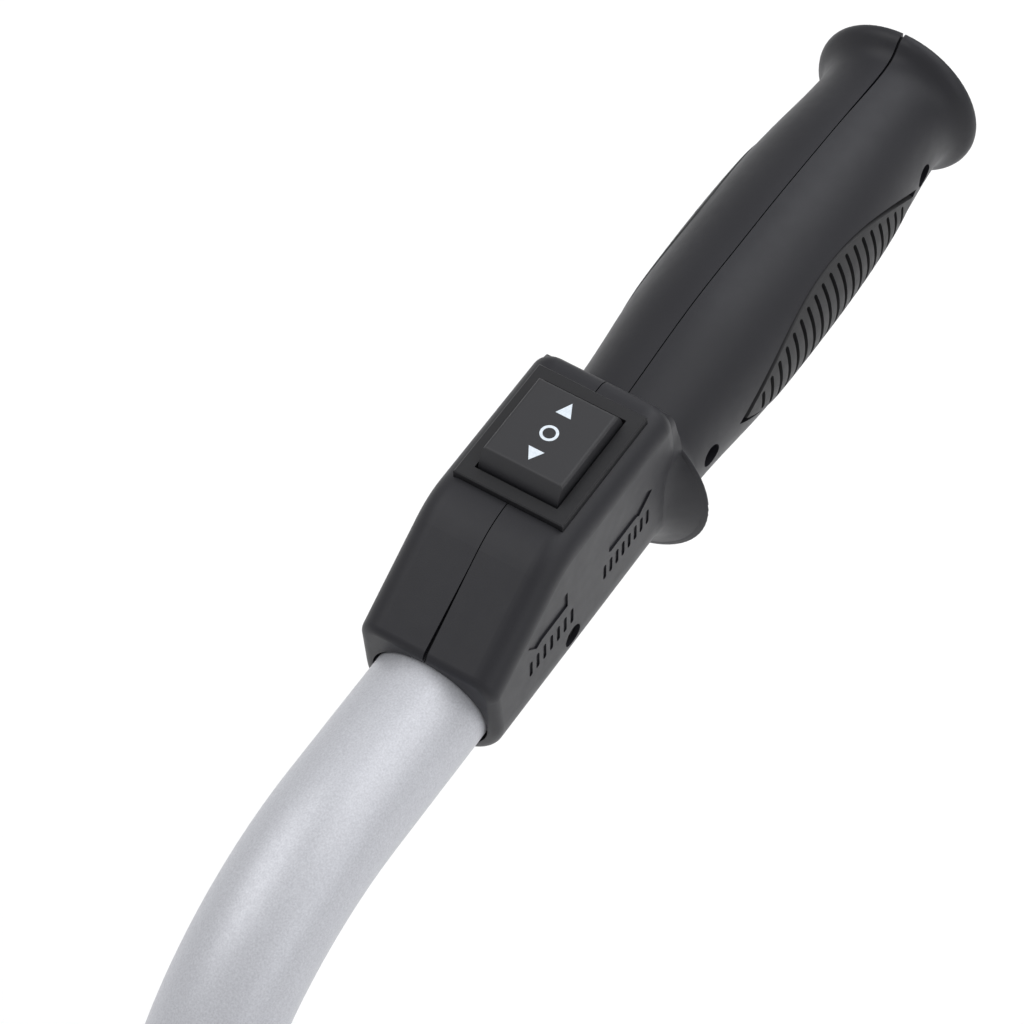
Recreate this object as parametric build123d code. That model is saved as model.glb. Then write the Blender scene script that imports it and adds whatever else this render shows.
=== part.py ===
from build123d import *
import math
import os

# Two-way switch handle on a bent steel tube.
#
# Working frame (millimetres): X runs along the grip axis towards the pommel, +Z is up
# (the rocker side), +Y is the right-hand side. The working origin is the centre of the
# switch housing's front face, on the tube axis. Everything is shifted at export so that
# the stored origin is the centre of the tube's lower end.

# ---------------------------------------------------------------- driving dimensions
TUBE_OD = 25.4            # outside diameter of the steel tube
TUBE_WALL = 1.6
TUBE_IN_X = 34.0          # how far the tube reaches into the housing
TUBE_BEND_X = -28.7       # start of the bend, in front of the housing
TUBE_BEND_R = 63.5        # centre-line bend radius, 2.5 diameters
TUBE_TAIL = 65.0          # straight tail below the bend
TAIL_HOLE_R = 3.2         # cross hole for the clamping bolt in the tail
TAIL_HOLE_Z = 40.0        # its height above the tube's lower end

ROOF_X = 65.7             # where the roof ends at the back
REAR_X, REAR_Z = 67.9, 20.5         # foot of the slanted rear wall, inside the hand stop
REAR_R = 3.6              # rounding of the rear wall's edges
BOX_HALF_W = 15.7         # half width of the housing's flat side walls
BOX_TOP = 30.9            # height of the housing roof above the axis
BOX_EDGE_R = 5.2          # rounding of the long top edges
ROOF_R = 19.0             # rounding between the sloping front and the roof
FRONT_R = 2.2             # rounding of the front face's outer edge
FRONT_TILT = 0.085        # the front face leans back below: X per unit of height
SLOPE_X0, SLOPE_Z0 = 0.0, 15.4      # lower end of the sloping front of the roof
SLOPE_X1 = 24.2                     # where the slope's line reaches the roof level
WALL = 2.5                # moulded wall thickness
SEAM = 0.11               # half of the gap between the two shells
LIP_T = 1.25              # depth below the skin where the inside features end

# grip sections: x, half width, half height
GRIP = [
    (57.0, 15.2, 15.4), (66.0, 15.4, 16.1), (76.0, 15.75, 17.1), (87.0, 16.35, 18.45),
    (99.0, 17.4, 19.5), (115.0, 18.05, 19.4), (131.0, 18.15, 19.1), (145.0, 17.75, 18.3),
    (158.0, 16.7, 17.4), (167.0, 15.75, 16.45), (172.5, 15.3, 15.95), (176.3, 15.3, 15.95),
    (178.7, 15.9, 16.5), (180.4, 17.1, 17.75), (181.7, 18.55, 19.25), (182.9, 19.05, 19.75), (184.0, 18.9, 19.5),
]
POMMEL_END = 186.4        # crown of the slightly domed end face

GUARD_R = 22.57           # radius of the hand stop's thin rim
GUARD_X = 68.1            # where the rim stands
FLARE_X0, FLARE_X1 = 60.6, 67.8     # where the walls start to flare and where they reach the rim
FLARE = 2.2               # how late they flare

SW_X = 45.2               # centre of the rocker switch
BEZEL_L, BEZEL_W, BEZEL_TOP = 30.7, 24.8, 32.43
OPEN_L, OPEN_W = 24.9, 18.8
SW_BODY_L, SW_BODY_W, SW_BODY_BOT = 27.8, 21.6, 15.0
SW_BASE_BOT = 13.5
PIVOT_Z = 29.2            # rocker trunnion height
ROCKER_R = 12.1           # end-face radius about the trunnion
ROCKER_TOP = 36.35
ROCKER_W = 18.05
POLE_Y = 5.0              # contact lanes left and right of the centre line
TERM_DX = 7.0             # spacing of the three terminal rows
LEVER_Z = 17.6            # pivot height of the contact levers
TIP_Z = 18.9              # lowest point of the plungers

SCREW_X = (28.4, 80.3, 167.2)
SCREW_R = 1.45
HEAD_R = 2.3
RECESS_R = 2.6

PAD_X, PAD_HALF_L, PAD_HALF_H = 126.6, 34.4, 10.8
PAD_GAP = 0.3              # gap beside the pad at its widest
PAD_END_GAP = 2.1         # gap at its pointed ends
PAD_DEPTH = 1.3
PAD_PROUD = 0.25
PAD_PITCH = 3.18

CABLE_R = 3.0
CABLE_OFF = 7.0           # cable centre below the tube axis
WIRE_R = 0.8

TUBE_R = TUBE_OD / 2
TUBE_IR = TUBE_R - TUBE_WALL
TAIL_X = TUBE_BEND_X - TUBE_BEND_R
TAIL_Z = -TUBE_BEND_R - TUBE_TAIL
SHIFT = Vector(-TAIL_X, 0, -TAIL_Z)

os.makedirs("parts", exist_ok=True)
NODES = {}


def keep(name, shape):
    NODES[name] = shape


def at(x, y, z):
    return Location((x, y, z))


def box(x0, x1, y0, y1, z0, z1):
    return at((x0 + x1) / 2, (y0 + y1) / 2, (z0 + z1) / 2) * Box(x1 - x0, y1 - y0, z1 - z0)


def cyl_x(x0, x1, r, y=0.0, z=0.0):
    return at((x0 + x1) / 2, y, z) * Rotation(0, 90, 0) * Cylinder(r, x1 - x0)


def cyl_y(y0, y1, r, x=0.0, z=0.0):
    return at(x, (y0 + y1) / 2, z) * Rotation(90, 0, 0) * Cylinder(r, y1 - y0)


def cyl_z(z0, z1, r, x=0.0, y=0.0):
    return at(x, y, (z0 + z1) / 2) * Cylinder(r, z1 - z0)


def yz(x):
    return Plane(origin=(x, 0, 0), x_dir=(0, 1, 0), z_dir=(1, 0, 0))


def grip_loft(off, stations=None, x_end_trim=0.0):
    faces = []
    for x, ry, rz in (stations or GRIP):
        faces.append(yz(x) * Ellipse(ry - off, rz - off))
    return loft(faces)


def revolve_x(points):
    """Revolve a closed (x, r) outline about the X axis."""
    face = make_face(Polyline(*[(x, 0, r) for x, r in points], close=True))
    return revolve(face, axis=Axis.X, revolution_arc=360)


def housing(off):
    """The switch housing's outline, moved inwards by off."""
    w, top, x0 = BOX_HALF_W - off, BOX_TOP - off, off
    slope = math.atan2(BOX_TOP - SLOPE_Z0, SLOPE_X1 - SLOPE_X0)
    # the slope's line moved inwards by off
    dx = off / math.sin(slope)
    za = SLOPE_Z0 + (x0 - SLOPE_X0 - dx) * math.tan(slope)
    xb = SLOPE_X0 + dx + (top - SLOPE_Z0) / math.tan(slope)
    xr, xe = ROOF_X - off, REAR_X - off
    xf = x0 + 1.3
    prof = make_face(Polyline((xf, 0, 0), (xe, 0, 0), (xe, 0, REAR_Z - off), (xr, 0, top), (xb, 0, top), (x0, 0, max(za, 1.0)), close=True))
    body = extrude(prof, amount=w, dir=(0, 1, 0), both=True)
    e = [e for e in body.edges() if abs(e.center().Z - top) < 0.01 and abs(e.center().X - xb) < 0.01]
    body = fillet(e, max(ROOF_R - off, 2.0))
    long = [e for e in body.edges() if abs(abs(e.center().Y) - w) < 0.01 and e.center().Z > 14.0
            and e.center().X < xr - 0.5 and e.center().X > x0 + 0.3]
    body = fillet(long, max(BOX_EDGE_R - off, 0.8))
    if off == 0:
        rear = [e for e in body.edges() if e.bounding_box().min.X > xr - 0.05 and e.center().Z > REAR_Z + 0.5
                and e.bounding_box().size.Z + e.bounding_box().size.Y > 1]
        body = fillet(rear, REAR_R)
    body = body + (cyl_x(x0, xe, w) & box(-1, xe + 1, -w - 1, w + 1, -w - 1, 0))
    lean = make_face(Polyline((-8, 0, 40), (x0 + (SLOPE_Z0 - 40) * FRONT_TILT, 0, 40), (x0 + (SLOPE_Z0 + 30) * FRONT_TILT, 0, -30), (-8, 0, -30), close=True))
    body = body - extrude(lean, amount=40, dir=(0, 1, 0), both=True)
    if off == 0:
        front = [e for e in body.edges() if abs(e.center().X - (SLOPE_Z0 - e.center().Z) * FRONT_TILT) < 0.02 and e.bounding_box().max.X < 3]
        body = fillet(front, FRONT_R)
    return body


def box_radius(deg):
    """Distance from the axis to the housing's section, in the direction deg from +Y."""
    w, top, r = BOX_HALF_W, BOX_TOP, BOX_EDGE_R
    c, sn = abs(math.cos(math.radians(deg))), math.sin(math.radians(deg))
    if sn <= 0:
        return w
    d = min(w / c if c > 1e-6 else 1e9, top / sn)
    if d * c > w - r and d * sn > top - r:
        cy, cz = w - r, top - r
        m = c * cy + sn * cz
        d = m + math.sqrt(max(m * m - (cy * cy + cz * cz - r * r), 0.0))
    return d


def flare():
    """The walls' flare to the hand stop: it stands out of the sides and the underside only."""
    half_deg = [-90, -72, -54, -36, -18, 0, 12, 24, 34, 42, 48, 53, 57, 61, 65, 70, 76, 83, 90]
    degs = half_deg + [180 - d for d in half_deg[-2:0:-1]]
    faces = []
    for k in range(8):
        t = k / 7
        x = FLARE_X0 + (FLARE_X1 - FLARE_X0) * (1 - (1 - t) ** 1.4)
        t = (x - FLARE_X0) / (FLARE_X1 - FLARE_X0)
        pts = []
        for deg in degs:
            up = abs(90 - deg) if deg > 0 else 90 + abs(deg)
            up = min(up, 360 - up)
            high = min(max((44 - up) / 12, 0.0), 1.0)         # 0 on the sides, 1 near the top
            rb = box_radius(deg)
            first = rb - 0.15 - 0.5 * high
            last = max(GUARD_R - 0.55, rb + 0.8) * (1 - high) + (rb - 1.2) * high
            d = first + (last - first) * t ** FLARE
            pts.append((x, d * math.cos(math.radians(deg)), d * math.sin(math.radians(deg))))
        faces.append(make_face(Spline(*pts, periodic=True)))
    body = loft(faces)
    limit = extrude(make_face(Polyline((59, 0, -26), (68.2, 0, -26), (68.2, 0, 18.2), (67.6, 0, 21.3), (66.2, 0, 28.0), (64.6, 0, 30.2), (59, 0, 30.2), close=True)), amount=30, dir=(0, 1, 0), both=True)
    return body & limit


def rim():
    """The hand stop's thin rounded rim with its concave back."""
    w = Wire([
        Polyline((66.4, 0, 12.0), (67.3, 0, 20.2)).edge(),
        ThreePointArc((67.3, 0, 20.2), (67.5, 0, 21.6), (67.75, 0, 22.3)),
        ThreePointArc((67.75, 0, 22.3), (GUARD_X + 0.05, 0, GUARD_R), (68.45, 0, 22.2)),
        ThreePointArc((68.45, 0, 22.2), (69.7, 0, 18.6), (74.5, 0, 16.2)),
        Line((74.5, 0, 16.2), (74.5, 0, 12.0)),
        Line((74.5, 0, 12.0), (66.4, 0, 12.0)),
    ])
    return revolve(make_face(w), axis=Axis.X, revolution_arc=360)


def outline(off, y0, y1):
    """The handle's outer form moved inwards by off, between two planes of constant y."""
    slab = box(-10, 200, y0, y1, -45, 50)
    end = POMMEL_END - off
    dome = revolve_x([(GRIP[-1][0] - 3.0, 0.0), (GRIP[-1][0] - 3.0, GRIP[-1][1] - off - 1.4),
                      (GRIP[-1][0] + 0.2 - off, GRIP[-1][1] - off - 0.9), (GRIP[-1][0] + 1.0 - off, GRIP[-1][1] - off - 2.4),
                      (end - 0.5, 11.5), (end, 0.0)])
    stations = [s for s in GRIP if s[0] < 183.5 - off] + ([GRIP[-1]] if off == 0 else [(184.0 - off, GRIP[-1][1], GRIP[-1][2])])
    rear = [flare(), rim()] if off == 0 else []
    body = None
    for prim in [housing(off), grip_loft(off, stations), dome] + rear:
        piece = prim & slab
        body = piece if body is None else body + piece
    return body


def inside_ribs():
    ribs = None
    for x0, x1 in ((4.2, 6.0), (11.0, 12.8), (20.0, 21.8), (31.4, 33.2)):
        rib = box(x0, x1, -16, 16, -16, 13.6)
        ribs = rib if ribs is None else ribs + rib
    for x0 in (73.0, 99.0, 123.0):
        ribs = ribs + (cyl_x(x0, x0 + 1.8, 24) - cyl_x(x0 - 1, x0 + 3, 11.5))
    for i, x in enumerate(SCREW_X):
        ribs = ribs + (cyl_y(-26, 26, 4.2, x=x) if i else cyl_y(-26, -12.6, 4.2, x=x) + cyl_y(12.6, 26, 4.2, x=x))
    return ribs


y_head = (-13.2, -8.0, -8.0)


# direction marks sunk into the left wall: (x, z) outlines of two arrows, and rows of short bars below them
ARROW_FWD = [(12.4, 14.8), (15.4, 17.9), (17.4, 17.2), (26.5, 17.1), (26.5, 12.5), (17.4, 12.4), (15.4, 11.7)]
ARROW_BACK = [(41.5, 17.2), (42.1, 17.75), (52.0, 17.7), (52.6, 18.3), (57.5, 14.9), (52.6, 11.5), (52.0, 12.1), (42.1, 12.05), (41.5, 12.6)]
MARK_DEPTH = 0.4
BAR_ROWS = [(13.3, 2.45, 7, 5.0, 9.6), (40.0, 2.25, 8, 5.4, 9.8)]    # first x, pitch, count, z from, z to


def wall_marks():
    y0 = -BOX_HALF_W + MARK_DEPTH
    cut = None
    for pts in (ARROW_FWD, ARROW_BACK):
        g = extrude(make_face(Polyline(*[(x, y0, z) for x, z in pts], close=True)), amount=3, dir=(0, -1, 0))
        cut = g if cut is None else cut + g
    for x0, pitch, n, za, zb in BAR_ROWS:
        for i in range(n):
            x, zz, hh = x0 + i * pitch, (za + zb) / 2, (zb - za) / 2
            w = 0.55
            bar = box(x - w, x + w, -BOX_HALF_W - 2, y0, zz - hh + w, zz + hh - w)
            for e in (-1, 1):
                bar = bar + cyl_y(-BOX_HALF_W - 2, y0, w, x=x, z=zz + e * (hh - w))
            cut = cut + bar
    return cut


SEAT = 0.5
tan_slope = (BOX_TOP - SLOPE_Z0) / (SLOPE_X1 - SLOPE_X0)
front_notch = extrude(make_face(Polyline((-1, -0.42, 0), (22.0, 0, 0), (-1, 0.42, 0), close=True)), amount=40) & extrude(
    make_face(Polyline((-1.5, 0, SLOPE_Z0 - 1.6 - 1.5 * tan_slope), (23.0, 0, SLOPE_Z0 - 1.6 + 23.0 * tan_slope),
                       (23.0, 0, SLOPE_Z0 + 4.0 + 23.0 * tan_slope), (-1.5, 0, SLOPE_Z0 + 4.0), close=True)), amount=2, both=True)
rear_line = [(x, 0, rz - 1.2) for x, ry, rz in GRIP if x > 140] + [(190.0, 0, 18.3), (190.0, 0, 24.0), (145.0, 0, 24.0)]
rear_notch = extrude(make_face(Polyline((140.0, 0, 0), (190.0, -0.34, 0), (190.0, 0.34, 0), close=True)), amount=40) & extrude(
    make_face(Polyline(*rear_line, close=True)), amount=2, both=True)


def half(side):
    """One moulded half: side -1 is the left, +1 the right."""
    y0, y1 = (-40.0, -SEAM) if side < 0 else (SEAM, 40.0)
    shell = outline(0.0, y0, y1) - outline(WALL, y0 - 1, y1 + 1)
    shell = shell + (inside_ribs() & outline(LIP_T, y0, y1))
    # the tube's bore, the front opening and the switch's place in the roof
    shell = shell - cyl_x(-1, TUBE_IN_X + 2.4, TUBE_R + 0.02)
    shell = shell - cyl_x(-1, 4.2, 13.3)
    shell = shell - box(SW_X - SW_BODY_L / 2 - 0.2, SW_X + SW_BODY_L / 2 + 0.2, -SW_BODY_W / 2 - 0.2, SW_BODY_W / 2 + 0.2, 10, 40)
    # the bezel's flat seat
    shell = shell - box(SW_X - BEZEL_L / 2 - 0.1, SW_X + BEZEL_L / 2 + 0.1, -BEZEL_W / 2 - 0.1, BEZEL_W / 2 + 0.1, BOX_TOP - SEAT, 40)
    # the parting line opens towards the front edge and towards the pommel
    shell = shell - front_notch - rear_notch
    if side < 0:
        shell = shell - wall_marks()
    for i, x in enumerate(SCREW_X):
        if i == 0:
            shell = shell - cyl_y(-20, 20, SCREW_R + 0.15, x=x)
        elif side < 0:
            shell = shell - cyl_y(-20, 0.05, SCREW_R + 0.15, x=x)
        else:
            shell = shell - cyl_y(-1, 8.4, SCREW_R + 0.01, x=x)
        if side < 0:
            shell = shell - cyl_y(-26, y_head[i], RECESS_R, x=x)
    if side > 0:
        hexa = Plane(origin=(SCREW_X[0], 13.9, 0), x_dir=(1, 0, 0), z_dir=(0, 1, 0)) * RegularPolygon(3.15, 6)
        shell = shell - extrude(hexa, amount=8)
    return shell


# ---------------------------------------------------------------- grip pads
def lens(half_l, half_h, y0, y1, x=PAD_X):
    """Pointed oval prism along Y."""
    n = Polyline
    up = ThreePointArc((x - half_l, y0, 0), (x, y0, half_h), (x + half_l, y0, 0))
    dn = ThreePointArc((x + half_l, y0, 0), (x, y0, -half_h), (x - half_l, y0, 0))
    f = make_face(Wire([up, dn]))
    return extrude(f, amount=abs(y1 - y0), dir=(0, 1 if y1 > y0 else -1, 0))


def lens_half_height(x, half_l, half_h):
    rr = (half_l ** 2 + half_h ** 2) / (2 * half_h)
    d = x - PAD_X
    return math.sqrt(max(rr * rr - d * d, 0)) - (rr - half_h)


pad_stations = [s for s in GRIP if 66.0 <= s[0] <= 172.5]
skin_out = grip_loft(-PAD_PROUD, pad_stations)
skin_in = grip_loft(PAD_DEPTH, pad_stations)
skin_floor = grip_loft(0.75, pad_stations)
grooves = None
for k in range(-9, 10):
    gx = PAD_X + k * PAD_PITCH
    h = lens_half_height(gx, PAD_HALF_L, PAD_HALF_H) - 0.9
    if h > 0.9:
        slot = Plane(origin=(gx, 30, 0), x_dir=(0, 0, 1), z_dir=(0, -1, 0)) * SlotOverall(2 * h, 1.1)
        g = extrude(slot, amount=60)
        grooves = g if grooves is None else grooves + g
grooves = grooves - skin_floor
for side, name in ((-1, "left_grip_pad"), (1, "right_grip_pad")):
    pad = (lens(PAD_HALF_L, PAD_HALF_H, side * 8.0, side * 30) & skin_out) - grip_loft(PAD_DEPTH - 0.02, pad_stations)
    keep(name, pad - grooves)

# ---------------------------------------------------------------- the two moulded halves
for side, name in ((-1, "left_shell"), (1, "right_shell")):
    pocket = lens(PAD_HALF_L + PAD_END_GAP, PAD_HALF_H + PAD_GAP, side * 8.0, side * 30) - skin_in
    keep(name, half(side) - pocket)

# ---------------------------------------------------------------- bent tube
bend_c = (TUBE_BEND_X, 0, -TUBE_BEND_R)


def tube_solid(r, x_in, tail_end):
    straight = cyl_x(TUBE_BEND_X, x_in, r)
    ring = Plane(origin=(TUBE_BEND_X, 0, 0), x_dir=(0, 1, 0), z_dir=(1, 0, 0)) * Circle(r)
    bend = revolve(ring, axis=Axis((TUBE_BEND_X, 0, -TUBE_BEND_R), (0, -1, 0)), revolution_arc=90)
    tail = cyl_z(tail_end, -TUBE_BEND_R, r, x=TAIL_X)
    return straight + bend + tail


tube = tube_solid(TUBE_R, TUBE_IN_X, TAIL_Z) - tube_solid(TUBE_IR, TUBE_IN_X + 1, TAIL_Z - 1)
tube = tube - cyl_y(-20, 20, SCREW_R + 0.2, x=SCREW_X[0])
tube = tube - cyl_y(-20, 20, TAIL_HOLE_R, x=TAIL_X, z=TAIL_Z + TAIL_HOLE_Z)
keep("handle_tube", tube)

bush = cyl_x(TUBE_IN_X, TUBE_IN_X + 1.2, TUBE_R - 0.3) + cyl_x(TUBE_IN_X - 3.0, TUBE_IN_X, TUBE_IR - 0.03)
bush = bush - cyl_x(TUBE_IN_X - 4, TUBE_IN_X + 2, CABLE_R + 0.02, z=-CABLE_OFF)
bush = bush - cyl_x(TUBE_IN_X - 4, TUBE_IN_X + 2, 3.4, z=4.6)
keep("tube_end_bush", bush)

# ---------------------------------------------------------------- screws
def screw(x, y_head_face, length, head_h=1.8):
    s = cyl_y(y_head_face, y_head_face + length, SCREW_R, x=x)
    h = cyl_y(y_head_face - head_h, y_head_face, HEAD_R, x=x)
    s = s + h
    f = y_head_face - head_h
    cross = box(x - 1.3, x + 1.3, f - 1, f + 1.0, -0.3, 0.3) + box(x - 0.3, x + 0.3, f - 1, f + 1.0, -1.3, 1.3)
    return s - cross


keep("case_screws", Compound(children=[screw(SCREW_X[1], y_head[1], 15.5).solid(), screw(SCREW_X[2], y_head[2], 15.5).solid()]))
keep("tube_bolt", screw(SCREW_X[0], y_head[0], 29.6, head_h=1.5).solid())
nut = extrude(Plane(origin=(SCREW_X[0], 13.92, 0), x_dir=(1, 0, 0), z_dir=(0, 1, 0)) * RegularPolygon(3.05, 6), amount=1.6)
keep("tube_nut", nut - cyl_y(10, 20, SCREW_R + 0.01, x=SCREW_X[0]))

# ---------------------------------------------------------------- switch
fx0, fx1 = SW_X - SW_BODY_L / 2, SW_X + SW_BODY_L / 2
frame = box(SW_X - BEZEL_L / 2, SW_X + BEZEL_L / 2, -BEZEL_W / 2, BEZEL_W / 2, BOX_TOP - SEAT, BEZEL_TOP)
frame = chamfer(frame.edges().group_by(Axis.Z)[-1], 0.25)
frame = frame + box(fx0, fx1, -SW_BODY_W / 2, SW_BODY_W / 2, SW_BODY_BOT, BOX_TOP - SEAT + 0.2)
frame = frame - box(SW_X - OPEN_L / 2, SW_X + OPEN_L / 2, -OPEN_W / 2, OPEN_W / 2, 0, 50)
frame = frame - cyl_y(-SW_BODY_W, SW_BODY_W, 1.55, x=SW_X, z=PIVOT_Z)
for s in (-1, 1):
    # snap ears that hold the switch under the roof
    y0 = s * SW_BODY_W / 2
    ear = make_face(Polyline((0, y0, 24.6), (0, y0 + s * 1.0, BOX_TOP - WALL - 0.1), (0, y0, BOX_TOP - WALL - 0.1), close=True))
    for ex in (-8.5, 8.5):
        frame = frame + at(SW_X + ex - 1.5, 0, 0) * extrude(ear, amount=3.0, dir=(1, 0, 0))
keep("switch_frame", frame)

blade_w, blade_t = 4.8, 0.8
base = box(fx0, fx1, -SW_BODY_W / 2, SW_BODY_W / 2, SW_BASE_BOT, SW_BODY_BOT)
for i in (-1, 0, 1):
    for s in (-1, 1):
        x, y = SW_X + i * TERM_DX, s * POLE_Y
        base = base - box(x - blade_t / 2 - 0.01, x + blade_t / 2 + 0.01, y - blade_w / 2 - 0.01, y + blade_w / 2 + 0.01, 10, 20)
# a barrier between the two poles
base = base + box(fx0 + 2.2, fx1 - 2.2, -0.6, 0.6, SW_BODY_BOT, 17.6)
keep("switch_base", base)

# fixed contacts and terminals
names = {-1: "front", 0: "common", 1: "rear"}
for i in (-1, 0, 1):
    for s in (-1, 1):
        x, y = SW_X + i * TERM_DX, s * POLE_Y
        t = box(x - blade_t / 2, x + blade_t / 2, y - blade_w / 2, y + blade_w / 2, 5.5, SW_BODY_BOT)
        t = t - (box(x - 1, x + 1, y - blade_w / 2 - 0.1, y - blade_w / 2 + 0.7, 5.4, 6.3) + box(x - 1, x + 1, y + blade_w / 2 - 0.7, y + blade_w / 2 + 0.1, 5.4, 6.3))
        if i:
            t = t + box(x - 1.6, x + 1.6, y - 2.0, y + 2.0, SW_BODY_BOT, SW_BODY_BOT + 0.7)
            t = t + cyl_z(SW_BODY_BOT + 0.7, SW_BODY_BOT + 1.2, 1.2, x=x, y=y)
        else:
            t = t + box(x - 1.0, x + 1.0, y - 2.2, y + 2.2, SW_BODY_BOT, SW_BODY_BOT + 0.7)
            for e in (-1, 1):
                t = t + box(x - 1.0, x + 1.0, y + e * 1.9 - 0.3, y + e * 1.9 + 0.3, SW_BODY_BOT, LEVER_Z + 1.0)
            t = t - cyl_y(y - 3, y + 3, 0.55, x=x, z=LEVER_Z)
        keep(f"terminal_{names[i]}_{'left' if s < 0 else 'right'}", t)

# contact levers, one for each pole, rocking on the common terminal
for s in (-1, 1):
    y = s * POLE_Y
    lv = box(SW_X - 8.2, SW_X + 8.2, y - 1.25, y + 1.25, LEVER_Z + 0.3, LEVER_Z + 0.9)
    lv = lv + box(SW_X - 0.8, SW_X + 0.8, y - 1.25, y + 1.25, LEVER_Z - 0.5, LEVER_Z + 0.3)
    lv = lv + cyl_y(y - 2.1, y + 2.1, 0.5, x=SW_X, z=LEVER_Z)
    for e in (-1, 1):
        lv = lv + cyl_z(LEVER_Z - 0.2, LEVER_Z + 0.3, 1.1, x=SW_X + e * TERM_DX, y=y)
    keep(f"contact_lever_{'left' if s < 0 else 'right'}", lv)

# rocker with arc-shaped ends about its trunnions
rk = cyl_y(-ROCKER_W / 2, ROCKER_W / 2, ROCKER_R, x=SW_X, z=PIVOT_Z) & box(SW_X - 13, SW_X + 13, -10, 10, 27.6, ROCKER_TOP)
top_edges = [e for e in rk.edges() if abs(e.center().Z - ROCKER_TOP) < 0.01]
rk = fillet(top_edges, 0.7)
# hollow underside
rk = rk - box(SW_X - 9.2, SW_X + 9.2, -7.6, 7.6, 20, 33.4)
for s in (-1, 1):
    rk = rk + cyl_z(20.2, 34.0, 2.7, x=SW_X, y=s * POLE_Y)
    rk = rk + cyl_y(s * 8.9, s * 10.3, 1.5, x=SW_X, z=PIVOT_Z) if s > 0 else rk + cyl_y(-10.3, -8.9, 1.5, x=SW_X, z=PIVOT_Z)
rk = rk + box(SW_X - 0.9, SW_X + 0.9, -8.8, 8.8, 27.6, 34.0)
for s in (-1, 1):
    rk = rk - cyl_z(19, 30.0, 1.65, x=SW_X, y=s * POLE_Y)
    pl = cyl_z(TIP_Z + 1.5, 24.0, 1.6, x=SW_X, y=s * POLE_Y) + at(SW_X, s * POLE_Y, TIP_Z + 1.6) * Sphere(1.6)
    pl = pl & box(SW_X - 3, SW_X + 3, -10, 10, TIP_Z, 24.0)
    pl = pl - cyl_z(21.6, 25, 1.1, x=SW_X, y=s * POLE_Y)
    keep(f"plunger_{'left' if s < 0 else 'right'}", pl)
keep("rocker", rk)

springs = []
for s in (-1, 1):
    pitch, hh, rr, wr = 1.25, 8.0, 0.8, 0.2
    path = Helix(pitch=pitch, height=hh, radius=rr)
    sec = Plane(origin=path @ 0, z_dir=path % 0) * Circle(wr)
    springs.append((at(SW_X, s * POLE_Y, 21.85) * sweep(sec, path=path)).solid())
keep("plunger_springs", Compound(children=springs))

# ---------------------------------------------------------------- wiring
def tube_along(points, radii, r):
    line = FilletPolyline(*points, radius=radii) if len(points) > 2 else Line(*points)
    start = line @ 0
    sec = Plane(origin=start, z_dir=line % 0) * Circle(r)
    body = sweep(sec, path=line)
    want = math.pi * r * r * line.length
    if abs(body.volume - want) > 0.02 * want:
        print("volume off", points[0], body.volume, want)
    return body


co = CABLE_OFF
cable_pts = [
    (TUBE_IN_X + 0.6, 0, -co),
    (TAIL_X + co, 0, -co),
    (TAIL_X + co, 0, TAIL_Z + 33.0),
    (TAIL_X, 0, TAIL_Z + 21.0),
    (TAIL_X, 0, TAIL_Z + 15.0),
]
keep("cable", tube_along(cable_pts, [TUBE_BEND_R - co, 9.0, 9.0], CABLE_R))

plug_pins = []
plug = cyl_z(TAIL_Z + 5.0, TAIL_Z + 18.0, 9.6, x=TAIL_X) - NODES["cable"] - cyl_z(TAIL_Z + 14.8, TAIL_Z + 25, CABLE_R + 0.01, x=TAIL_X)
for a in (45, 135, 225, 315):
    px, py = TAIL_X + 4.2 * math.cos(math.radians(a)), 4.2 * math.sin(math.radians(a))
    pin = cyl_z(TAIL_Z + 0.8, TAIL_Z + 12.0, 0.9, x=px, y=py)
    plug = plug - cyl_z(TAIL_Z, TAIL_Z + 12.0, 0.91, x=px, y=py)
    plug_pins.append(pin.solid())
keep("cable_plug", plug)
keep("plug_pins", Compound(children=plug_pins))

tf, tc, tr = SW_X - TERM_DX, SW_X, SW_X + TERM_DX
x0 = TUBE_IN_X + 0.62
leads = {
    "motor_lead_a": ([(x0, -1.2, -co + 1.2), (tf - 0.2, -6.1, -7.2), (tf, -6.1, 4.4)], 2.6),
    "motor_lead_b": ([(x0, 1.2, -co + 1.2), (tf - 0.2, 6.1, -7.2), (tf, 6.1, 4.4)], 2.6),
    "supply_lead_a": ([(x0, -1.2, -co - 1.2), (tc - 1.0, -5.0, -9.6), (tc, -5.0, 4.4)], 4.0),
    "supply_lead_b": ([(x0, 1.2, -co - 1.2), (tc - 1.0, 5.0, -9.6), (tc, 5.0, 4.4)], 4.0),
    "jumper_a": ([(tf, -4.0, 4.4), (tf, -4.0, -2.2), (tr, 5.0, -2.2), (tr, 5.0, 4.4)], 2.4),
    "jumper_b": ([(tf, 4.0, 4.4), (tf, 4.0, -5.4), (tr, -5.0, -5.4), (tr, -5.0, 4.4)], 2.4),
}
for name, (pts, rad) in leads.items():
    lead = tube_along(pts, rad, WIRE_R)
    if "lead" in name:
        lead = (lead - NODES["cable"] - bush).solid()
    keep(name, lead)

sleeves = []
for i in (-1, 0, 1):
    for s in (-1, 1):
        x, y = SW_X + i * TERM_DX, s * POLE_Y
        sl = box(x - 1.55, x + 1.55, y - 3.1, y + 3.1, 1.2, 11.5)
        sl = fillet(sl.edges().filter_by(Axis.Z), 1.0)
        for nm in ("motor_lead_a", "motor_lead_b", "supply_lead_a", "supply_lead_b", "jumper_a", "jumper_b"):
            sl = sl - NODES[nm]
        sl = sl - box(x - blade_t / 2 - 0.01, x + blade_t / 2 + 0.01, y - blade_w / 2 - 0.01, y + blade_w / 2 + 0.01, 5.49, 20)
        sleeves.append(sl.solid())
keep("spade_sleeves", Compound(children=sleeves))

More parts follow.
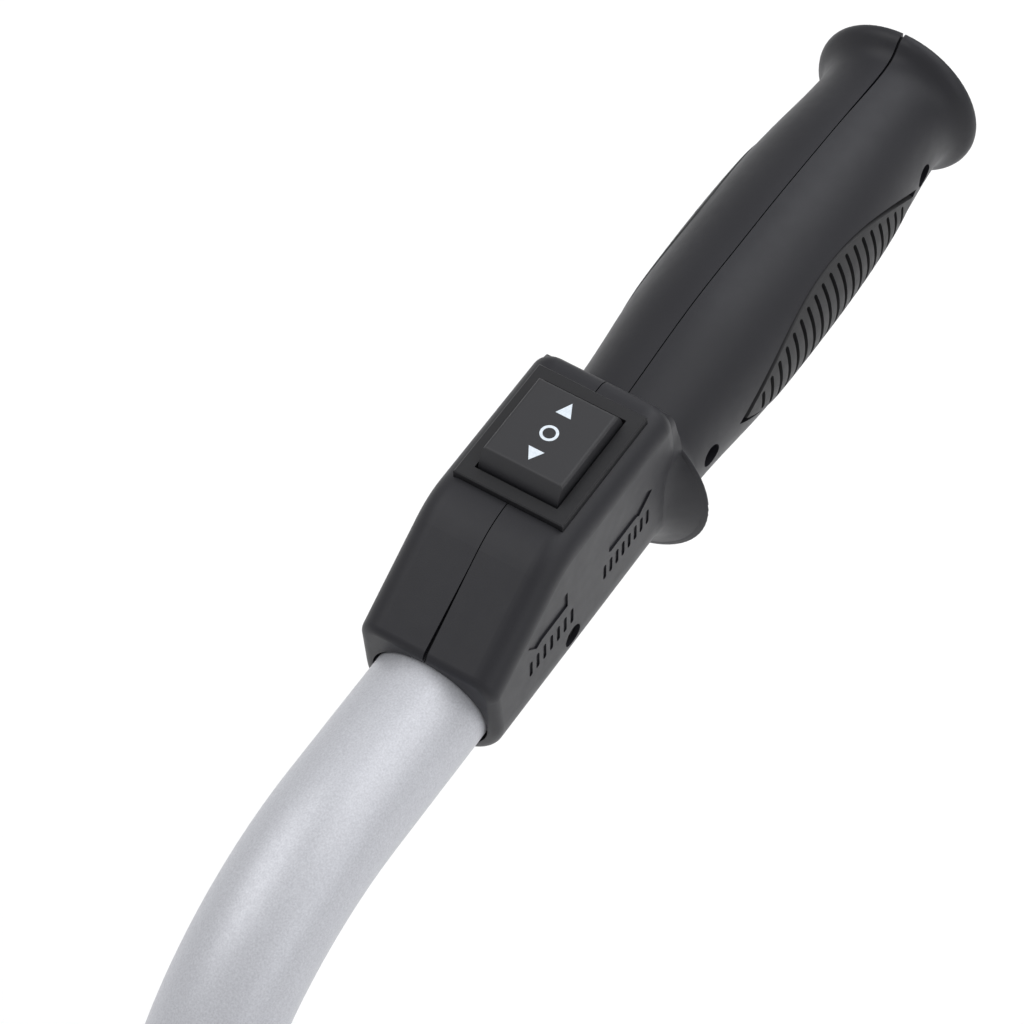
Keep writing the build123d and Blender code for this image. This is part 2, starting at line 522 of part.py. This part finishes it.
for name, shape in NODES.items():
    moved = Location(SHIFT) * shape
    export_step(moved, f"parts/{name}.step")
    sol = moved.solids()
    print(name, len(sol), round(sum(s.volume for s in sol), 2))
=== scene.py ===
import bpy, bmesh, math
from mathutils import Vector, Matrix


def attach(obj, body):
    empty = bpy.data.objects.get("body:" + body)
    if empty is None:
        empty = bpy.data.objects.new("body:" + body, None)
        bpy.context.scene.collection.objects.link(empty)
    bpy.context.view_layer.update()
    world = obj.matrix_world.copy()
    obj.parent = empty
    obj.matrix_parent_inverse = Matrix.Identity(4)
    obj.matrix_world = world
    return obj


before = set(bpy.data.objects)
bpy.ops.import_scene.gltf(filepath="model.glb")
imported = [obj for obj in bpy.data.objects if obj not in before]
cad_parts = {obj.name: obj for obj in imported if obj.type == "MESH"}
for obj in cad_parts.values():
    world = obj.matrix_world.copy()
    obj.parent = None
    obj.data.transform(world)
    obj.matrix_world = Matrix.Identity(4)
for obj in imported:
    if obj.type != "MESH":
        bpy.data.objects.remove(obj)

MM = 0.001
OFF = Vector((92.2, 0.0, 128.5))            # working frame to row frame, mm
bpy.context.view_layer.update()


def P(x, y, z):
    return (Vector((x, y, z)) + OFF) * MM


# ------------------------------------------------------------------ camera
sc = bpy.context.scene
cam_data = bpy.data.cameras.new("camera")
cam = bpy.data.objects.new("camera", cam_data)
sc.collection.objects.link(cam)
cam.location = P(-366.12, -265.63, 689.11)
look = P(47.23, 10.64, -0.30)
back = Vector((-0.49483, -0.31255, 0.81084)).normalized()
right = Vector((0.53404, -0.84549, 0.0)).normalized()
turn = Matrix((right, back.cross(right), back)).transposed()
turn = (-back).rotation_difference((look - cam.location).normalized()).to_matrix() @ turn
cam.rotation_euler = turn.to_euler()
cam_data.sensor_width = 36.0
cam_data.lens = 149.6
cam_data.clip_start = 0.05
cam_data.clip_end = 20.0
sc.camera = cam
sc.view_settings.view_transform = "Standard"
sc.view_settings.look = "None"

# ------------------------------------------------------------------ stage and light
world = bpy.data.worlds.new("world")
sc.world = world
world.use_nodes = True
world.node_tree.nodes["Background"].inputs["Color"].default_value = (1.0, 1.0, 1.0, 1.0)
world.node_tree.nodes["Background"].inputs["Strength"].default_value = 0.66


def mesh_object(name, verts, faces, smooth=False):
    me = bpy.data.meshes.new(name)
    me.from_pydata([tuple(v) for v in verts], [], faces)
    me.update()
    if smooth:
        me.polygons.foreach_set("use_smooth", [True] * len(me.polygons))
    ob = bpy.data.objects.new(name, me)
    sc.collection.objects.link(ob)
    return ob


F = 4.0
floor = mesh_object("floor", [(-F, -F, -0.16), (F, -F, -0.16), (F, F, -0.16), (-F, F, -0.16)], [(0, 1, 2, 3)])


def area(name, loc, target, size, power, color=(1, 1, 1)):
    ld = bpy.data.lights.new(name, "AREA")
    ld.shape = "RECTANGLE"
    ld.size, ld.size_y = size
    ld.energy = power
    ld.color = color
    ob = bpy.data.objects.new(name, ld)
    sc.collection.objects.link(ob)
    ob.location = loc
    ob.rotation_euler = (Vector(target) - Vector(loc)).to_track_quat("-Z", "Y").to_euler()
    return ob


mid = (0.14, 0.0, 0.12)
area("key", (0.85, -0.75, 1.35), mid, (1.8, 1.4), 8.0)
area("side", (-0.10, -1.30, 0.60), mid, (1.2, 0.6), 1.9, (0.97, 0.98, 1.0))
area("top", (-0.20, 0.70, 1.45), mid, (1.4, 1.2), 7.5)
area("grip", (0.70, -0.04, 0.60), (0.30, 0.0, 0.13), (0.5, 0.4), 0.9, (0.93, 0.95, 1.0))


# ------------------------------------------------------------------ materials
def new_mat(name):
    m = bpy.data.materials.new(name)
    m.use_nodes = True
    nt = m.node_tree
    bsdf = nt.nodes["Principled BSDF"]
    return m, nt, bsdf


def coords(nt):
    tc = nt.nodes.new("ShaderNodeTexCoord")
    return tc.outputs["Object"]


def noise(nt, vec, scale, detail=2.0, rough=0.5):
    n = nt.nodes.new("ShaderNodeTexNoise")
    n.inputs["Scale"].default_value = scale
    n.inputs["Detail"].default_value = detail
    n.inputs["Roughness"].default_value = rough
    nt.links.new(vec, n.inputs["Vector"])
    return n.outputs["Fac"]


def ramp(nt, fac, stops):
    r = nt.nodes.new("ShaderNodeValToRGB")
    cr = r.color_ramp
    while len(cr.elements) < len(stops):
        cr.elements.new(0.5)
    for e, (p, c) in zip(cr.elements, stops):
        e.position = p
        e.color = (c[0], c[1], c[2], 1.0)
    nt.links.new(fac, r.inputs["Fac"])
    return r.outputs["Color"]


def value_ramp(nt, fac, lo, hi, a=0.3, b=0.7):
    r = nt.nodes.new("ShaderNodeMapRange")
    r.inputs["From Min"].default_value = a
    r.inputs["From Max"].default_value = b
    r.inputs["To Min"].default_value = lo
    r.inputs["To Max"].default_value = hi
    nt.links.new(fac, r.inputs["Value"])
    return r.outputs["Result"]


def bump(nt, height, strength, distance, prev=None):
    b = nt.nodes.new("ShaderNodeBump")
    b.inputs["Strength"].default_value = strength
    b.inputs["Distance"].default_value = distance
    nt.links.new(height, b.inputs["Height"])
    if prev is not None:
        nt.links.new(prev, b.inputs["Normal"])
    return b.outputs["Normal"]


def plastic(name, dark, light, rough=(0.42, 0.55), grain=6500.0, strength=0.25, spec=0.5):
    m, nt, b = new_mat(name)
    v = coords(nt)
    big = noise(nt, v, 45.0, 3.0)
    nt.links.new(ramp(nt, big, [(0.3, dark), (0.7, light)]), b.inputs["Base Color"])
    fine = noise(nt, v, grain, 1.0)
    nt.links.new(value_ramp(nt, noise(nt, v, 300.0, 2.0), rough[0], rough[1]), b.inputs["Roughness"])
    n1 = bump(nt, fine, strength, 0.00005)
    nt.links.new(n1, b.inputs["Normal"])
    b.inputs["Specular IOR Level"].default_value = spec
    return m


def metal(name, col, rough=(0.25, 0.4), metallic=1.0, grain=2500.0, strength=0.08):
    m, nt, b = new_mat(name)
    v = coords(nt)
    n = noise(nt, v, 120.0, 3.0)
    d = tuple(c * 0.86 for c in col)
    nt.links.new(ramp(nt, n, [(0.3, d), (0.7, col)]), b.inputs["Base Color"])
    nt.links.new(value_ramp(nt, noise(nt, v, 700.0, 2.0), rough[0], rough[1]), b.inputs["Roughness"])
    nt.links.new(bump(nt, noise(nt, v, grain, 1.0), strength, 0.00004), b.inputs["Normal"])
    b.inputs["Metallic"].default_value = metallic
    return m


shell_mat = plastic("shell_plastic_look", (0.0106, 0.0106, 0.0142), (0.0120, 0.0120, 0.0158), rough=(0.43, 0.47), grain=5200.0, strength=0.30, spec=0.36)
pad_mat = plastic("pad_rubber_look", (0.0170, 0.0170, 0.0185), (0.0210, 0.0210, 0.0225), rough=(0.50, 0.60), grain=4200.0, strength=0.3, spec=0.45)
switch_mat = plastic("switch_plastic_look", (0.0100, 0.0100, 0.0118), (0.0112, 0.0112, 0.0130), rough=(0.40, 0.44), grain=7000.0, strength=0.22, spec=0.36)
rocker_mat = plastic("rocker_plastic_look", (0.0148, 0.0148, 0.0176), (0.0166, 0.0166, 0.0194), rough=(0.44, 0.48), grain=8000.0, strength=0.2)
base_mat = plastic("base_plastic_look", (0.05, 0.045, 0.04), (0.07, 0.06, 0.05), rough=(0.45, 0.6))
acetal_mat = plastic("acetal_look", (0.70, 0.70, 0.66), (0.80, 0.80, 0.76), rough=(0.3, 0.4), strength=0.1)
bush_mat = plastic("bush_look", (0.05, 0.05, 0.052), (0.065, 0.065, 0.068))
jacket_mat = plastic("jacket_look", (0.02, 0.02, 0.02), (0.03, 0.03, 0.03), rough=(0.4, 0.5))
sleeve_mat = plastic("sleeve_look", (0.5, 0.04, 0.035), (0.6, 0.06, 0.05), rough=(0.3, 0.4))
copper_mat = metal("copper_look", (0.85, 0.48, 0.32))
brass_mat = metal("brass_look", (0.80, 0.66, 0.38))
steel_mat = metal("steel_look", (0.62, 0.63, 0.64))
black_steel_mat = metal("black_steel_look", (0.012, 0.012, 0.014), rough=(0.45, 0.6))
wire_mats = {
    "motor_lead_a": plastic("wire_red", (0.45, 0.03, 0.025), (0.55, 0.04, 0.03), strength=0.05),
    "motor_lead_b": plastic("wire_black", (0.02, 0.02, 0.02), (0.03, 0.03, 0.03), strength=0.05),
    "supply_lead_a": plastic("wire_yellow", (0.65, 0.5, 0.04), (0.75, 0.6, 0.06), strength=0.05),
    "supply_lead_b": plastic("wire_blue", (0.03, 0.1, 0.4), (0.04, 0.13, 0.48), strength=0.05),
}

# satin silver powder coat: pale grey with a fine metallic speckle
tube_mat, nt, b = new_mat("tube_paint_look")
v = coords(nt)
speck = noise(nt, v, 2600.0, 2.0, 0.6)
broad = noise(nt, v, 18.0, 3.0)
mixn = nt.nodes.new("ShaderNodeMix")
mixn.data_type = "RGBA"
mixn.inputs["Factor"].default_value = 0.35
nt.links.new(ramp(nt, speck, [(0.30, (0.42, 0.425, 0.46)), (0.72, (0.60, 0.61, 0.65))]), mixn.inputs["A"])
nt.links.new(ramp(nt, broad, [(0.35, (0.49, 0.495, 0.53)), (0.65, (0.54, 0.55, 0.585))]), mixn.inputs["B"])
nt.links.new(mixn.outputs["Result"], b.inputs["Base Color"])
nt.links.new(value_ramp(nt, noise(nt, v, 900.0, 2.0), 0.36, 0.48), b.inputs["Roughness"])
nt.links.new(bump(nt, noise(nt, v, 1500.0, 2.0), 0.25, 0.00005), b.inputs["Normal"])
b.inputs["Metallic"].default_value = 0.35

floor_mat, nt, b = new_mat("floor_look")
b.inputs["Base Color"].default_value = (0.95, 0.95, 0.95, 1)
b.inputs["Roughness"].default_value = 0.9
b.inputs["Specular IOR Level"].default_value = 0.1
floor.data.materials.append(floor_mat)


def paint(node, mat):
    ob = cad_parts[node]
    if not ob.material_slots:
        ob.data.materials.append(mat)
    for s in ob.material_slots:
        s.material = mat


looks = {
    "handle_tube": tube_mat, "left_shell": shell_mat, "right_shell": shell_mat,
    "left_grip_pad": pad_mat, "right_grip_pad": pad_mat, "switch_frame": switch_mat, "rocker": rocker_mat,
    "switch_base": base_mat, "plunger_left": acetal_mat, "plunger_right": acetal_mat, "plunger_springs": steel_mat,
    "contact_lever_left": copper_mat, "contact_lever_right": copper_mat, "case_screws": black_steel_mat,
    "tube_bolt": black_steel_mat, "tube_nut": steel_mat, "tube_end_bush": bush_mat, "cable": jacket_mat,
    "cable_plug": bush_mat, "plug_pins": brass_mat, "jumper_a": wire_mats["motor_lead_a"], "jumper_b": wire_mats["motor_lead_b"],
    "spade_sleeves": sleeve_mat, **wire_mats,
}
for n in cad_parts:
    paint(n, looks.get(n, brass_mat))

# ------------------------------------------------------------------ printed marks on the rocker
mark_mat, nt, b = new_mat("mark_print_look")
v = coords(nt)
nt.links.new(ramp(nt, noise(nt, v, 1800.0, 2.0), [(0.3, (0.62, 0.69, 0.76)), (0.7, (0.74, 0.80, 0.86))]), b.inputs["Base Color"])
nt.links.new(value_ramp(nt, noise(nt, v, 2500.0, 1.0), 0.35, 0.5), b.inputs["Roughness"])
nt.links.new(bump(nt, noise(nt, v, 5000.0, 1.0), 0.15, 0.00002), b.inputs["Normal"])

TOP_Z, INK = 36.35, 0.03


def prism(name, outer, inner=None):
    """A flat mark on the rocker's top: outer and inner are (x, y) loops with the same number of points."""
    n = len(outer)
    lo, hi = TOP_Z - 0.02, TOP_Z + INK
    if inner is None:
        verts = [P(x, y, lo) for x, y in outer] + [P(x, y, hi) for x, y in outer]
        faces = [tuple(range(n))[::-1], tuple(range(n, 2 * n))] + [(i, (i + 1) % n, n + (i + 1) % n, n + i) for i in range(n)]
    else:
        verts = [P(x, y, z) for z in (lo, hi) for loop in (outer, inner) for x, y in loop]
        faces = []
        for i in range(n):
            j = (i + 1) % n
            faces += [(i, j, 2 * n + j, 2 * n + i), (n + j, n + i, 3 * n + i, 3 * n + j),
                      (2 * n + i, 2 * n + j, 3 * n + j, 3 * n + i), (j, i, n + i, n + j)]
    ob = mesh_object(name, verts, faces)
    bm = bmesh.new()
    bm.from_mesh(ob.data)
    bmesh.ops.recalc_face_normals(bm, faces=bm.faces)
    bm.to_mesh(ob.data)
    bm.free()
    ob.data.materials.append(mark_mat)
    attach(ob, "rocker")
    return ob


def circle(cx, cy, r, n=64):
    return [(cx + r * math.cos(2 * math.pi * i / n), cy + r * math.sin(2 * math.pi * i / n)) for i in range(n)]


prism("rocker_mark_back", [(49.67, -1.72), (53.07, 0.0), (49.67, 1.72)])
prism("rocker_mark_off", circle(44.72, 0.0, 1.9), circle(44.72, 0.0, 1.3))
prism("rocker_mark_front", [(40.23, 1.77), (37.28, 0.0), (40.23, -1.77)])

# ------------------------------------------------------------------ lip behind the parting line, in the pommel's end wall
lip_out = [(180.4, -16.5), (181.7, -18.3), (182.6, -18.9), (183.5, -18.8), (184.0, -17.5), (184.8, -15.9), (185.3, -11.3), (185.7, 0.0),
           (185.3, 11.3), (184.8, 15.9), (183.9, 17.4), (182.6, 17.8), (181.7, 17.8), (180.4, 16.5)]
lip_in = [(180.4, -15.5), (180.9, -16.3), (181.4, -16.4), (181.8, -15.6), (182.3, -14.7), (182.7, -13.8), (183.3, -11.2), (184.1, 0.0),
          (183.3, 11.2), (182.7, 13.8), (182.3, 14.7), (181.8, 15.6), (181.2, 16.3), (180.4, 15.5)]
n = len(lip_out)
verts = [P(x, y, z) for y in (-0.09, 0.09) for loop in (lip_out, lip_in) for x, z in loop]
faces = []
for i in range(n - 1):
    j = i + 1
    faces += [(i, j, n + j, n + i), (2 * n + j, 2 * n + i, 3 * n + i, 3 * n + j),
              (j, i, 2 * n + i, 2 * n + j), (n + i, n + j, 3 * n + j, 3 * n + i)]
faces += [(0, n, 3 * n, 2 * n), (n - 1, 3 * n - 1, 4 * n - 1, 2 * n - 1)]
lip = mesh_object("pommel_seam_lip", verts, faces)
bm = bmesh.new()
bm.from_mesh(lip.data)
bmesh.ops.recalc_face_normals(bm, faces=bm.faces)
bm.to_mesh(lip.data)
bm.free()
lip.data.materials.append(shell_mat)
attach(lip, "root")
